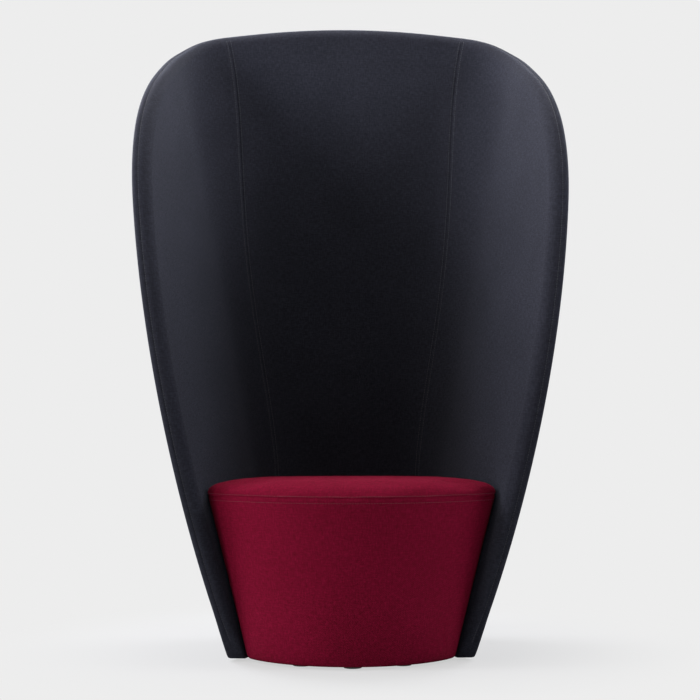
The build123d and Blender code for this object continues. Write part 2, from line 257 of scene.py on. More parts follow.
edge_loop, edge_out = eased_loop(crisp)
soft_loop, soft_out = eased_loop(soft)  # a sharp foot would fold when it is moved inwards
total = len(edge_loop)
corner_spots = [0, 2 * foot_index, foot_index + ear_index, foot_index + total - ear_index, total]
print("rim loop", total, "points", round(spacing, 2), "mm apart; corners at", corner_spots)

# %% [markdown]
# ## A grid inside the outline
# The outline has four soft corners, two feet and two ears. A Coons patch fills it: the average of the
# sheets stretched between opposite sides. The columns are then slid along each row so that two of them
# run exactly down the sewn seams of the back, with a few close ones beside each for the groove.

# %% Grids and patches
def along(values, spots):
    """A closed line's values at fractional places, wrapping round at its end."""
    wrapped = np.concatenate([values, values[:1]])
    return at_spots(spots, np.arange(len(wrapped)), wrapped)


def coons(low, right, top, left):
    """Both ruled sheets between opposite sides, minus the sheet through the four corners."""
    u = np.linspace(0, 1, len(low))[None, :, None]
    v = np.linspace(0, 1, len(right))[:, None, None]
    ruled = (1 - v) * low[None] + v * top[None] + (1 - u) * left[:, None] + u * right[:, None]
    corners = (1 - u) * (1 - v) * low[0] + u * (1 - v) * low[-1] + (1 - u) * v * top[0] + u * v * top[-1]
    return ruled - corners


def border(index):
    """What stands round a grid's border, in order from its first corner."""
    return np.concatenate([index[0, :-1], index[:-1, -1], index[-1, :0:-1], index[:0:-1, 0]])


def quad_grid(index):
    """The four corners of each cell of a grid of point numbers."""
    corners = [index[:-1, :-1], index[:-1, 1:], index[1:, 1:], index[1:, :-1]]
    return np.stack(corners, axis=-1).reshape(-1, 4)


# %% The filled outline
roll_depth = 25.0  # the flat of the cloth ends this far inside the outline
rows, fine = 150, 480
inner_loop = soft_loop - roll_depth * soft_out
spots_low = np.linspace(corner_spots[0], corner_spots[1], fine)
spots_right = np.linspace(corner_spots[1], corner_spots[2], rows)
spots_top = np.linspace(corner_spots[3], corner_spots[2], fine)
spots_left = np.linspace(corner_spots[4], corner_spots[3], rows)
patch = coons(*[along(inner_loop, s) for s in (spots_low, spots_right, spots_top, spots_left)])
print("patch", patch.shape[0], "x", patch.shape[1])

# %% The seams of the back and the columns beside them
# level and distance from the middle of each back seam
sewn = np.array([(340, 161), (510, 180), (600, 191), (710, 207), (850, 230), (1017, 246), (1238, 256),
                 (1390, 277), (1440, 289)], float)
sewn_foot, foot_drift = sewn[0, 0], 0.03  # below this level the seams run nearly straight down
sewn_curve = np.polynomial.Polynomial.fit(sewn[:, 0], sewn[:, 1], 4)
seam_levels = np.arange(0.0, 1461.0, 20.0)
seam_x = np.where(seam_levels < sewn_foot, sewn_curve(sewn_foot) - foot_drift * (sewn_foot - seam_levels),
                  sewn_curve(seam_levels))
ways = np.arange(0.0, 520.0, 1.0)
seam_ways = np.array([np.interp(x, shell_place(ways, level, wall)[:, 0], ways)
                      for x, level in zip(seam_x, seam_levels)])
beside = np.array([0.0, 0.9, 2.0, 3.4, 5.2, 8.0, 12.5])  # columns next to a seam


def seam_way(level):
    """How far round the shell the back's seam lies at a level."""
    return np.interp(level, seam_levels, seam_ways)


def between(start, end, cells, near_start, near_end):
    """Places from start to end, close together beside a seam and even elsewhere."""
    head = start[:, None] + (beside if near_start else beside[:1])
    tail = end[:, None] - (beside[::-1] if near_end else beside[:1])
    t = np.linspace(0, 1, cells + 1)[1:-1]
    middle = head[:, -1:] + (tail[:, :1] - head[:, -1:]) * t
    return np.concatenate([head, middle, tail], axis=1)


print("seams", [round(float(seam_way(level))) for level in (seat_level, shell_height)],
      "mm from the middle of the back, at the seat and at the top")

# %% The grid and its way round the rim
seam_at = np.array([[np.interp(0.0, row[:, 0] - sign * seam_way(row[:, 1]), row[:, 0]) for sign in (-1, 1)]
                    for row in patch])
wing_cells, back_cells = 62, 52
left_zone = between(patch[:, 0, 0], seam_at[:, 0], wing_cells, False, True)
middle_zone = between(seam_at[:, 0], seam_at[:, 1], back_cells, True, True)
right_zone = between(seam_at[:, 1], patch[:, -1, 0], wing_cells, True, False)
grid_way = np.concatenate([left_zone, middle_zone[:, 1:-1], right_zone], axis=1)
grid_level = np.stack([np.interp(wanted, row[:, 0], row[:, 1]) for wanted, row in zip(grid_way, patch)])
columns = grid_way.shape[1]
low_seam = left_zone.shape[1] - 1
high_seam = low_seam + middle_zone.shape[1] - 1
low_spots = np.interp(grid_way[0], patch[0, :, 0], spots_low)
top_spots = np.interp(grid_way[-1], patch[-1, :, 0], spots_top)
ring_spots = np.concatenate([low_spots, spots_right[1:], top_spots[::-1][1:], spots_left[::-1][1:-1]])
grid_index = np.arange(rows * columns).reshape(rows, columns)
ring_index = border(grid_index)
ring_column = ring_index % columns
print("grid", rows, "x", columns, "and", len(ring_index), "places round the rim")

# %% [markdown]
# ## Foam under the cloth
# Sewn wool over foam is never a plain surface. The seam pulls the cloth in, the foam stands up beside it,
# and small puckers run away from the stitches. These are written as a height above the foam: a narrow bell
# for the groove, a wide one for the shoulder, and a sum of three waves for the puckers. Each bell and wave
# has its height first and its width or length last.

# %% Heights of the upholstery
def bell(distance, width):
    """One at the middle, nothing far away."""
    return np.exp(-((distance / width) ** 2))


def ripple(run, length, seed):
    """Three waves whose lengths don't fit each other, so that no two puckers are the same."""
    phase = np.random.default_rng(seed).uniform(0, 2 * pi, 3)
    return (np.sin(2 * pi * run / length + phase[0]) + 0.7 * np.sin(2 * pi * run / (length * 1.62) + phase[1])
            + 0.5 * np.sin(2 * pi * run / (length * 0.71) + phase[2])) / 2.2


def pulled(distance, reach, bite):
    """How strongly stitches pull: not at all on the thread, most beside it, and fading over the reach."""
    return np.exp(-distance / reach) * np.tanh(distance / bite)


def lining_height(way, level):
    """The inside cloth: grooves at the two back seams, shoulders and puckers beside them."""
    height = np.zeros(np.broadcast(way, level).shape)
    for sign in (-1, 1):
        off = np.abs(way - sign * seam_way(level))
        height = height - 0.9 * bell(off, 2.6) + 0.5 * bell(off - 16, 9.0)
        height = height + 0.35 * pulled(off, 17.0, 4.0) * ripple(level + 0.6 * off, 21.0, 3 + sign)
    slow = 0.35 * ripple(level, 430.0, 11) * ripple(way, 510.0, 12)
    return (height + slow) * smooth_step(level, 330.0, 430.0)


def outside_height(way, level):
    """The outside cloth is stretched over thin foam, so it only wanders a little."""
    return 0.4 * ripple(level, 520.0, 21) * ripple(way, 610.0, 22)


print("groove of a back seam", round(float(lining_height(seam_way(900.0), 900.0)), 2), "mm")

# %% [markdown]
# ## The rolled rim
# Round the whole outline the cloth turns over the edge of the foam and meets the outside cover in a seam
# that runs along the rim, nearer the outside. The roll is a profile carried round the outline: a straight,
# a quarter circle, and the flat of the rim up to the seam, with a groove at the seam.

# %% Profiles and the two sides of the wall
rim_seam = 16.0  # depth of the rim seam in the wall
foot_roll, inside_full, outside_full = 5.5, 21.0, 13.0  # the roll's radius at the floor and higher up
full_from, full_to = 14.0, 110.0  # levels between which it grows
pucker_length, pucker_seed = 19.0, 31


def rim_roll(face):
    """Stations of the roll from a face of the wall to the rim seam: a quarter circle in seven, then straight
    in six. Gives their way, level and depth, and a UV that is measured along the cloth."""
    inwards = 1.0 if face > wall / 2 else -1.0
    base, out = along(edge_loop, ring_spots), along(edge_out, ring_spots)
    fullest = inside_full if inwards > 0 else outside_full
    radius = foot_roll + (fullest - foot_roll) * smooth_step(base[:, 1], full_from, full_to)
    profile = []  # inset, depth, and how far a swelling pushes outwards and inwards
    for angle in np.linspace(0, pi / 2, 7):
        profile.append((radius * (1 - sin(angle)), face - inwards * radius * (1 - cos(angle)),
                        np.full_like(radius, sin(angle)), np.full_like(radius, inwards * cos(angle))))
    start = face - inwards * radius
    for share in (0.3, 0.55, 0.75, 0.88, 0.96, 1.0):
        profile.append((0 * radius, start + (rim_seam - start) * share, 0 * radius + 1, 0 * radius))
    inset, depth, push_out, push_in = [np.array(p) for p in zip(*profile)]
    steps = np.hypot(np.diff(inset, axis=0), np.diff(depth, axis=0))
    first = roll_depth - inset[:1]
    cloth = np.concatenate([first, first + np.cumsum(steps, axis=0)])
    to_seam = cloth[-1:] - cloth
    height = -1.1 * bell(to_seam, 2.2) + 0.7 * bell(to_seam - 9, 7.0)
    pucker = ripple(run_along(base), pucker_length, pucker_seed)
    height = height + 0.22 * pulled(to_seam, 12.0, 3.0) * pucker
    height = height * smooth_step(base[:, 1], 10.0, 90.0)
    place = base[None] - (inset - height * push_out)[..., None] * out[None]
    uv = (base - roll_depth * out)[None] + cloth[..., None] * out[None]
    return place[..., 0], place[..., 1], depth + height * push_in, uv


def wall_side(face, height_of):
    """One side of the wall: the grid on the face and the roll round it. Gives its points, its quads, its UV
    in metres, the grid column of each quad, and the roll's stations by themselves."""
    inwards = 1.0 if face > wall / 2 else -1.0
    raised = face + inwards * height_of(grid_way, grid_level)
    way, level, depth, uv = rim_roll(face)
    rolled = shell_place(way, level, depth)
    points = np.concatenate([shell_place(grid_way, grid_level, raised).reshape(-1, 3), rolled.reshape(-1, 3)])
    flat_uv = np.stack([grid_way, grid_level], axis=-1).reshape(-1, 2)
    uvs = np.concatenate([flat_uv, uv.reshape(-1, 2)]) * MM
    stations, around = rolled.shape[:2]
    roll_index = grid_index.size + np.arange(stations * around).reshape(stations, around)
    rings = np.concatenate([ring_index[None], roll_index])
    b = np.roll(rings, -1, axis=1)
    strips = np.stack([rings[:-1], rings[1:], b[1:], b[:-1]], axis=-1).reshape(-1, 4)
    strip_column = np.minimum(np.minimum(ring_column, np.roll(ring_column, -1)), columns - 2)
    column = np.concatenate([np.tile(np.arange(columns - 1), rows - 1), np.tile(strip_column, stations)])
    return points, np.concatenate([quad_grid(grid_index), strips]), uvs, column, rolled


inside_points, inside_quads, inside_uv, inside_column, inside_roll = wall_side(wall, lining_height)
outside_points, outside_quads, outside_uv = wall_side(0.0, outside_height)[:3]
print("inside of the wall", len(inside_quads), "quads, outside", len(outside_quads))

# %% [markdown]
# ## Meshes from arrays
# `foreach_set` moves whole numpy arrays into a mesh, which is far quicker than adding faces one by one.
# The function also turns millimetres from the drum's middle into metres in the frame.

# %% A mesh and its cloth
def placed(name, data):
    """A new object in the scene, at the origin, that holds the data."""
    made = bpy.data.objects.new(name, data)
    bpy.context.scene.collection.objects.link(made)
    return made


def make_mesh(name, points, faces, material, uv=None):
    """A smooth mesh object from points in millimetres and faces of equal size."""
    mesh = bpy.data.meshes.new(name)
    place = np.asarray(points, float) * MM + (0.0, drum_y, 0.0)
    faces = np.asarray(faces, np.int32)
    mesh.vertices.add(len(place))
    mesh.vertices.foreach_set("co", place.astype(np.float32).ravel())
    mesh.loops.add(faces.size)
    mesh.loops.foreach_set("vertex_index", faces.ravel())
    mesh.polygons.add(len(faces))
    mesh.polygons.foreach_set("loop_start", np.arange(0, faces.size, faces.shape[1], dtype=np.int32))
    mesh.polygons.foreach_set("use_smooth", np.ones(len(faces), bool))
    mesh.update(calc_edges=True)
    if uv is not None:
        mesh.uv_layers.new(name="cloth").data.foreach_set("uv", uv[faces.ravel()].astype(np.float32).ravel())
    mesh.materials.append(material)
    piece = placed(name, mesh)
    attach(piece, chair_body)
    return piece


def kept(points, faces, uv, keep):
    """Only the faces that are kept, and the points that they use."""
    faces = faces[keep]
    used, faces_now = np.unique(faces, return_inverse=True)
    return points[used], faces_now.reshape(faces.shape), uv[used]


def lined(piece, thickness):
    """Gives the cloth its thickness, away from the side that shows."""
    solid = piece.modifiers.new("thickness", "SOLIDIFY")
    solid.thickness = thickness * MM
    solid.offset = -1.0
    solid.use_even_offset = False


cover_thickness = 1.6
print("wool cover", cover_thickness, "mm thick")

# %% [markdown]
# ## Wool, thread and the other finishes
# The covers are plain-woven wool: a matt cloth whose fibres catch light at a grazing angle, which the
# Principled shader's sheen gives. Its colour is never one value, because the yarn is spun from fibres of
# several shades. The weave is a bump from two crossed waves on the cloth's own UV, so that it follows the
# cloth round the corners. Real yarns lie about 0.9 mm apart and their thick places are about 1 mm wide. At
# the size of the picture both would vanish, so the yarns are drawn 1.8 mm apart and the slubs 3 mm wide.
# The other finishes are two close shades mixed by a noise with the grain's own size, which also lifts the
# surface a little. Wood draws that noise out along its grain, and plywood adds its layers.

# %% Colours and nodes
def colour(code):
    """An sRGB hex colour as linear values."""
    parts = [int(code[i : i + 2], 16) / 255 for i in (1, 3, 5)]
    return tuple(c / 12.92 if c <= 0.04045 else ((c + 0.055) / 1.055) ** 2.4 for c in parts) + (1.0,)


def cells(size):
    """A noise's scale, in cells a metre, from the size of a cell in millimetres."""
    return 1 / (size * MM)


def bands(width):
    """A wave texture's scale from the width of a light or dark band in millimetres: it repeats, after one
    of each, every 0.314 of its input."""
    return 0.314159 / (2 * width * MM)


def node(tree, kind, inputs=None, stops=(), **settings):
    """Adds a node with its settings, its inputs' values or links, and a ramp's stops. Gives its outputs."""
    made = tree.nodes.new("ShaderNode" + kind)
    for key, value in settings.items():
        setattr(made, key, value)
    for key, value in (inputs or {}).items():
        if isinstance(value, bpy.types.NodeSocket):
            tree.links.new(value, made.inputs[key])
        else:
            made.inputs[key].default_value = value
    while stops and len(made.color_ramp.elements) < len(stops):
        made.color_ramp.elements.new(0.5)
    for i, (place, code) in enumerate(stops):
        made.color_ramp.elements[i].position = place
        made.color_ramp.elements[i].color = colour(code)
    return made.outputs


def emptied(owner):
    """The empty node tree of a new material or world."""
    owner.use_nodes = True
    owner.node_tree.nodes.clear()
    return owner.node_tree


def painted(name, tree_of):
    """A new material whose shader is what the function builds in its node tree."""
    material = bpy.data.materials.new(name)
    tree = emptied(material)
    node(tree, "OutputMaterial", {"Surface": tree_of(tree)})
    return material


# %% Wool
fibre_size, slub_width, slub_length, cloud_size, yarn_spacing = 1.11, 2.94, 11.1, 143.0, 1.8


def wool(name, stops, sheen_tint, sheen):
    """Plain-woven melange wool on the piece's cloth UV: fibres, slubs along both yarns and slow clouds."""
    def shader(tree):
        uv = node(tree, "UVMap", uv_map="cloth")["UV"]
        warp, weft = [node(tree, "TexWave", {"Vector": uv, "Scale": bands(yarn_spacing), "Distortion": 0.6,
                                             "Detail": 1.0, "Detail Scale": 0.4}, bands_direction=way)["Fac"]
                      for way in "XY"]
        crossed = node(tree, "Math", {0: warp, 1: weft}, operation="SUBTRACT")[0]
        weave = node(tree, "Math", {0: crossed}, operation="ABSOLUTE")[0]
        fibre = node(tree, "TexNoise", {"Vector": uv, "Scale": cells(fibre_size), "Detail": 3.0})["Fac"]
        shade = node(tree, "Math", {0: fibre, 1: 0.20}, operation="MULTIPLY")[0]
        wide, long, slow = cells(slub_width), cells(slub_length), cells(cloud_size)
        layers = {(wide, long, 1.0): 0.34, (long, wide, 1.0): 0.34, (slow, slow, 1.0): 0.12}
        for stretch, share in layers.items():
            drawn = node(tree, "Mapping", {"Vector": uv, "Scale": stretch})[0]
            part = node(tree, "TexNoise", {"Vector": drawn, "Scale": 1.0, "Detail": 2.0})["Fac"]
            shade = node(tree, "Math", {0: part, 1: share, 2: shade}, operation="MULTIPLY_ADD")[0]
        relief = node(tree, "Math", {0: fibre, 1: 0.5, 2: weave}, operation="MULTIPLY_ADD")[0]
        bump = node(tree, "Bump", {"Height": relief, "Strength": 0.55, "Distance": 0.5 * MM})[0]
        return node(tree, "BsdfPrincipled", {
            "Base Color": node(tree, "ValToRGB", {"Fac": shade}, stops)["Color"], "Normal": bump,
            "Roughness": 0.92, "Specular IOR Level": 0.06, "Sheen Weight": sheen, "Sheen Roughness": 0.22,
            "Sheen Tint": colour(sheen_tint)})[0]
    return painted(name, shader)


# charcoal melange with a blue cast: almost black in shade, soft grey where light grazes it
charcoal_wool = wool("charcoal_melange_wool", [(0.40, "#1c1d23"), (0.50, "#22232a"), (0.60, "#292a32")],
                     "#a4a9bd", 0.13)
# wine-red wool: a deep red that stays saturated in shade
wine_wool = wool("wine_red_wool", [(0.40, "#5a061b"), (0.50, "#640721"), (0.60, "#6f0a27")], "#7a1030", 0.02)
print("weave drawn at", yarn_spacing, "mm, slubs at", slub_width, "by", slub_length, "mm")


# %% Thread, metal, nylon and wood
def plain(name, codes, roughness, grain, bump=0.15, metallic=0.0):
    """A moulded, plated or spun finish: two close shades by a noise with this grain, which also lifts it."""
    def shader(tree):
        place = node(tree, "TexCoord")["Object"]
        noise = node(tree, "TexNoise", {"Vector": place, "Scale": cells(grain), "Detail": 3.0})["Fac"]
        lifted = node(tree, "Bump", {"Height": noise, "Strength": bump, "Distance": 0.3 * MM})[0]
        base = node(tree, "ValToRGB", {"Fac": noise}, list(zip((0.35, 0.7), codes)))["Color"]
        return node(tree, "BsdfPrincipled", {"Base Color": base, "Normal": lifted, "Roughness": roughness,
                                             "Metallic": metallic})[0]
    return painted(name, shader)


def wood(name, stops, grain, lengthwise, layer=0.0):
    """Rotary-cut or sawn wood: a noise drawn out along the grain, with glued layers on the edges if asked."""
    def shader(tree):
        place = node(tree, "TexCoord")["Object"]
        stretch = [cells(grain)] * 3
        stretch[lengthwise] *= 0.06
        drawn = node(tree, "Mapping", {"Vector": place, "Scale": stretch})[0]
        figure = node(tree, "TexNoise", {"Vector": drawn, "Scale": 1.0, "Detail": 4.0,
                                         "Distortion": 0.8})["Fac"]
        if layer:
            glued = node(tree, "TexWave", {"Vector": place, "Scale": bands(layer)},
                         bands_direction="Z")["Fac"]
            figure = node(tree, "Math", {0: glued, 1: 0.25, 2: figure}, operation="MULTIPLY_ADD")[0]
        raised = node(tree, "Bump", {"Height": figure, "Strength": 0.2, "Distance": 0.4 * MM})[0]
        base = node(tree, "ValToRGB", {"Fac": figure}, stops)["Color"]
        return node(tree, "BsdfPrincipled", {"Base Color": base, "Normal": raised, "Roughness": 0.62})[0]
    return painted(name, shader)


# spun polyester thread: close to the wool, a little glossier, so that a row just shows
charcoal_thread = plain("charcoal_polyester_thread", ("#1f2026", "#2a2b32"), 0.65, 0.667)
wine_thread = plain("wine_polyester_thread", ("#4a0619", "#5c0a22"), 0.65, 0.667)
# satin zinc plating: pale, slightly yellow, soft highlights
zinc = plain("bright_zinc_plated_steel", ("#b9bcc0", "#a9acb1"), 0.34, 1.11, 0.05, 1.0)
# moulded nylon: near black with a faint waxy shine
nylon = plain("moulded_black_nylon", ("#161618", "#1d1d20"), 0.45, 0.833)
# elastic webbing: black yarn over brown rubber, dull
webbing = plain("black_elastic_webbing", ("#1d1c1b", "#3a3733"), 0.8, 3.85, 0.5)
# spunbond cloth: thin black felt without a shine
spun_cloth = plain("spunbond_dust_cloth", ("#18181a", "#242426"), 0.9, 1.43, 0.4)
# pressed plywood: warm beech veneer, its figure drawn out along the grain
core_ply = wood("pressed_beech_plywood", [(0.3, "#b98f62"), (0.7, "#d4b088")], 6.0, 2)
# birch plywood: pale, with the glued layers as stripes on its edges
birch_ply = wood("birch_plywood", [(0.3, "#cfae7f"), (0.75, "#e6cda2")], 7.0, 0, 1.5)
# sawn beech: reddish brown, fine grain, dry surface
beech = wood("sawn_beech", [(0.3, "#b9835a"), (0.7, "#d3a37a")], 4.0, 2)
print(len(bpy.data.materials), "materials with the packed ones")

# %% [markdown]
# ## Dressing the CAD parts
# The plywood, the posts and the fixings already have their exact shapes, so they stay and only get a
# finish. The record says which material each of them is.

# %% Finishes of the hidden frame
finishes = {"shell_core": core_ply, "seat_base_plate": birch_ply, "seat_back_wall": core_ply,
            "seat_front_wall": core_ply, "seat_top_frame": birch_ply, "seat_post": beech, "shell_bolts": zinc,
            "shell_tee_nuts": zinc, "glide_tee_nuts": zinc, "glide_stud": zinc, "glide_foot": nylon}
dressed = 0
for name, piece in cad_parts.items():
    for start, finish in finishes.items():
        if name.startswith(start):
            dressed += 1
            for held in piece.material_slots:
                held.material = finish
print("finished", dressed, "boards, posts and fixings")

# %% [markdown]
# ## The shell's four covers
# The outside cover is one piece up to the rim seam. The lining is three panels sewn together: the back
# between its two seams, and a wing each side. All four come from the two sides of the wall, split by
# column, so their sewn edges match exactly.

# %% Shell covers
shell_cover = make_mesh("shell_outer_fabric", outside_points, outside_quads[:, ::-1], charcoal_wool,
                        outside_uv)
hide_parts("shell_outer_cover", "shell_outer_foam")
in_left, in_right = inside_column < low_seam, inside_column >= high_seam
panels = {"left_wing_fabric": (in_left, ["left_wing_inner_cover"]),
          "back_panel_fabric": (~in_left & ~in_right, ["back_inner_cover", "shell_inner_foam"]),
          "right_wing_fabric": (in_right, ["right_wing_inner_cover"])}
covers = [shell_cover]
for name, (keep, nodes) in panels.items():
    points, faces, uv = kept(inside_points, inside_quads, inside_uv, keep)
    covers.append(make_mesh(name, points, faces, charcoal_wool, uv))
    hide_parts(*nodes)
for piece in covers:
    lined(piece, cover_thickness)
    print(piece.name, len(piece.data.polygons), "quads")

# %% [markdown]
# ## The upholstered seat
# The drum is one closed form: turned under at the floor, up the bowed front, round a soft edge and over a
# crowned top. Each level is a ring: straight back, bent corners, splayed sides, a rounded corner and the
# bow. Cloth is then swelled over it by a short simulation with a little air pressure, held at the seam and
# where the drum meets the shell, and no point may move more than a few millimetres.

# %% The drum's outline at a level
front_cells, side_cells = 84, 64
seat_inset = 39.4  # from the shell's outside to the seat's cover
wing_slant, back_slant = 1.0664, 1.0101  # level distance through a leaning wall, per thickness
side_front, side_forward = -126.0, 0.09  # where a side meets the bow: y at the floor, and forwards per height
bow_front, bow_forward = -260.3, 0.052  # the same for the middle of the bow
nose_radius, least_nose, rear_radius = 28.0, 4.0, 175.0
nose_cut, nose_reach, rear_cut = -pi / 5, 40.0, 0.93  # where the corners are cut into four sides


def arc(centre, radius, start, end):
    """Points on a circle from one angle to another."""
    t = np.linspace(start, end, 40)
    return np.stack([centre[0] + radius * np.cos(t), centre[1] + radius * np.sin(t)], axis=1)


def seat_ring(level, inset):
    """The drum's plan at a level, moved in by the inset, as one closed ring from the middle of the front,
    with the centres of its right nose and right rear corner. The bow is the circle through the ends of the
    sides, and the nose is the circle that touches both the bow and the side from inside."""
    back = back_face(level) - (seat_inset + inset) * back_slant
    side_x = wing_face(0.0, level) - (seat_inset + inset) * wing_slant
    side_y = side_front - side_forward * level
    front_y = bow_front - bow_forward * (level - floor_gap)
    chord = wing_face(side_y, level) - wall * wing_slant
    bow = side_y - front_y
    radius = (chord**2 + bow**2) / (2 * bow) - inset
    middle = front_y + inset + radius
    rear = rear_radius - inset
    nose = max(nose_radius - inset, least_nose)
    rear_centre = (side_x - wing_splay * back - rear * np.tan(turn / 2), back - rear)
    a = side_x - nose * hypot(1, wing_splay)
    half_b, square = wing_splay * a + middle, 1 + wing_splay**2
    y = (half_b - (half_b**2 - square * (a**2 + middle**2 - (radius - nose) ** 2)) ** 0.5) / square
    nose_centre = (a - wing_splay * y, y)
    bow_angle, side_angle = atan2(y - middle, nose_centre[0]), atan2(wing_splay, 1.0)
    right = np.concatenate([
        arc((0.0, middle), radius, -pi / 2, bow_angle), arc(nose_centre, nose, bow_angle, side_angle)[1:],
        arc(rear_centre, rear, side_angle, pi / 2), [[0.0, back]]])
    return even(np.concatenate([right, (right * (-1, 1))[::-1][1:]]), 1201)[:-1], nose_centre, rear_centre


def cut_at(half, centre, direction, allowed):
    """The point of half a ring that lies nearest to a direction from a corner's centre."""
    outward = half - np.array(centre)
    off = np.abs(np.arctan2(outward[:, 1], outward[:, 0]) - direction)
    return int(np.argmin(np.where(allowed, off, np.inf)))


def four_sides(level, inset=0.0):
    """The ring from corner to corner: front, right, back and left, each evenly spread."""
    ring, nose_centre, rear_centre = seat_ring(level, inset)
    half = ring[: len(ring) // 2]
    first = cut_at(half, nose_centre, nose_cut, np.abs(half[:, 1] - nose_centre[1]) <= nose_reach)
    second = cut_at(half, rear_centre, rear_cut, half[:, 1] >= rear_centre[1])
    closed = np.roll(ring, first, axis=0)
    closed = np.concatenate([closed, closed[:1]])
    marks = [0, 2 * first, first + second, len(ring) + first - second, len(ring)]
    return [even(closed[start : end + 1], count + 1)
            for start, end, count in zip(marks, marks[1:], (front_cells, side_cells) * 2)]


def plan_ring(level, inset):
    """The four sides joined into one ring."""
    return np.concatenate([side[:-1] for side in four_sides(level, inset)])


def filled(sides):
    """A Coons patch between four sides that follow each other round."""
    return coons(sides[0], sides[1], sides[2][::-1], sides[3][::-1])


crown_level, crown_y, crown_radius, crown_cross_radius = 388.6, -170.0, 2700.0, 12000.0


def crown(x, y):
    """The top of the seat: two crossed arcs, highest towards the front and falling to the rear."""
    return crown_level - (y - crown_y) ** 2 / (2 * crown_radius) - x**2 / (2 * crown_cross_radius)


print("drum", round(2 * float(seat_ring(floor_gap, 0.0)[0][:, 0].max())), "mm wide at the floor")

# %% Rings from the floor to the crown
seam_level, edge_level, edge_radius = 357.0, 365.0, 27.0
under_level, under_inset = floor_gap + 0.3, 16.0  # of the cloth that is turned under
stations = [(under_level, under_inset), (under_level, 9.0), (floor_gap + 1.6, 3.4), (floor_gap + 5.0, 0.8)]
low_rings, edge_rings = len(stations), 8
# levels of the rings up the sides, close together beside the seam
walls = np.concatenate([np.linspace(18.0, 335.0, 34), [342, 346.5, 350, 352.5, 354.6, 356.2, 357.0,
                                                       357.8, 359.4, 361.5]])
stations += [(float(level), 0.0) for level in walls]
seam_station = low_rings + int(np.argmin(np.abs(walls - seam_level)))
rings = []
for level, inset in stations:
    plan = plan_ring(level, inset)
    rings.append(np.concatenate([plan, np.full((len(plan), 1), level)], axis=1))
for angle in np.linspace(0, pi / 2, edge_rings + 1)[1:]:
    plan = plan_ring(edge_level, edge_radius * (1 - cos(angle)))
    level = crown(plan[:, 0], plan[:, 1]) - edge_radius * (1 - sin(angle))
    rings.append(np.concatenate([plan, level[:, None]], axis=1))
rings = np.array(rings)
lid = filled(four_sides(edge_level, edge_radius))
lid = np.concatenate([lid, crown(lid[..., 0], lid[..., 1])[..., None]], axis=-1)
floor_lid = filled(four_sides(under_level, under_inset))
floor_lid = np.concatenate([floor_lid, np.full(floor_lid.shape[:2] + (1,), under_level)], axis=-1)
print("drum", len(rings), "rings; seam at ring", seam_station)

# %% The drum as one closed mesh
ring_count, around = rings.shape[:2]
drum_points = np.concatenate([part.reshape(-1, 3) for part in (rings[1:-1], lid, floor_lid)])
middle_count = (ring_count - 2) * around
lid_size = lid[..., 0].size
lid_index = middle_count + np.arange(lid_size).reshape(lid.shape[:2])
floor_index = lid_index + lid_size
ring_ids = np.concatenate([border(floor_index)[None], np.arange(middle_count).reshape(ring_count - 2, around),
                           border(lid_index)[None]])
nxt = np.roll(ring_ids, -1, axis=1)
wall_quads = np.stack([ring_ids[:-1], nxt[:-1], nxt[1:], ring_ids[1:]], axis=-1)
lid_quads, floor_quads = quad_grid(lid_index), quad_grid(floor_index)[:, ::-1]
drum_quads = np.concatenate([wall_quads.reshape(-1, 4), lid_quads, floor_quads])
# the ring below each quad, with a number of their own for the lid and the floor
quad_station = np.concatenate([np.repeat(np.arange(ring_count - 1), around),
                               np.full(len(lid_quads), ring_count), np.full(len(floor_quads), -1)])
print("drum", len(drum_points), "points", len(drum_quads), "quads")


# %% Swelling the cloth over the foam
def corner_normals(points, quads):
    """The average direction of the faces round each point."""
    a, b, c, d = [points[quads[:, i]] for i in range(4)]
    face = np.cross(c - a, d - b)
    total_normal = np.zeros_like(points)
    for i in range(4):
        np.add.at(total_normal, quads[:, i], face)
    return unit(total_normal)


def swelled(points, quads, held, cap, pressure=0.9, frames=20):
    """Cloth simulation with air pressure inside: returns the points moved outwards by at most the cap."""
    mesh = bpy.data.meshes.new("swelling")
    mesh.from_pydata((points * MM).tolist(), [], quads.tolist())
    dummy = placed("swelling", mesh)
    dummy.vertex_groups.new(name="held").add(np.flatnonzero(held).tolist(), 1.0, "REPLACE")
    cloth = dummy.modifiers.new("air", "CLOTH")
    cloth.settings.use_pressure = True
    cloth.settings.uniform_pressure_force = pressure
    cloth.settings.effector_weights.gravity = 0.0
    cloth.settings.vertex_group_mass = "held"
    cloth.settings.quality = 5
    cloth.point_cache.frame_start, cloth.point_cache.frame_end = 1, frames
    scene = bpy.context.scene
    for number in range(1, frames + 1):
        scene.frame_set(number)
    now = np.empty(len(points) * 3, np.float32)
    dummy_now = dummy.evaluated_get(bpy.context.evaluated_depsgraph_get())
    dummy_now.data.vertices.foreach_get("co", now)
    scene.frame_set(1)
    bpy.data.objects.remove(dummy)
    bpy.data.meshes.remove(mesh)
    move = now.reshape(-1, 3) / MM - points
    size = np.linalg.norm(move, axis=1)
    print("cloth moved up to", round(float(size.max()), 1), "mm, kept to", cap)
    limited = cap * np.tanh(size / cap) / np.maximum(size, 1e-6)
    return points + move * limited[:, None]


station_of = np.full(len(drum_points), ring_count)
station_of[ring_ids.ravel()] = np.repeat(np.arange(ring_count), around)
station_of[floor_index.ravel()] = -1
station_of[border(floor_index)] = 0
held_front, held_forward = -118.0, 0.1  # where the shell starts: y at the floor, and forwards per height
held_top, swell_limit = 376.0, 5.0  # the rest of the top is free to swell, but never past the limit
behind_bow = drum_points[:, 1] > held_front - held_forward * drum_points[:, 2]
against_shell = behind_bow & (drum_points[:, 2] < held_top)
held = against_shell | (station_of < low_rings) | (station_of == seam_station)
drum_points = swelled(drum_points, drum_quads, held, swell_limit)
print(int(held.sum()), "of", len(held), "points are held")

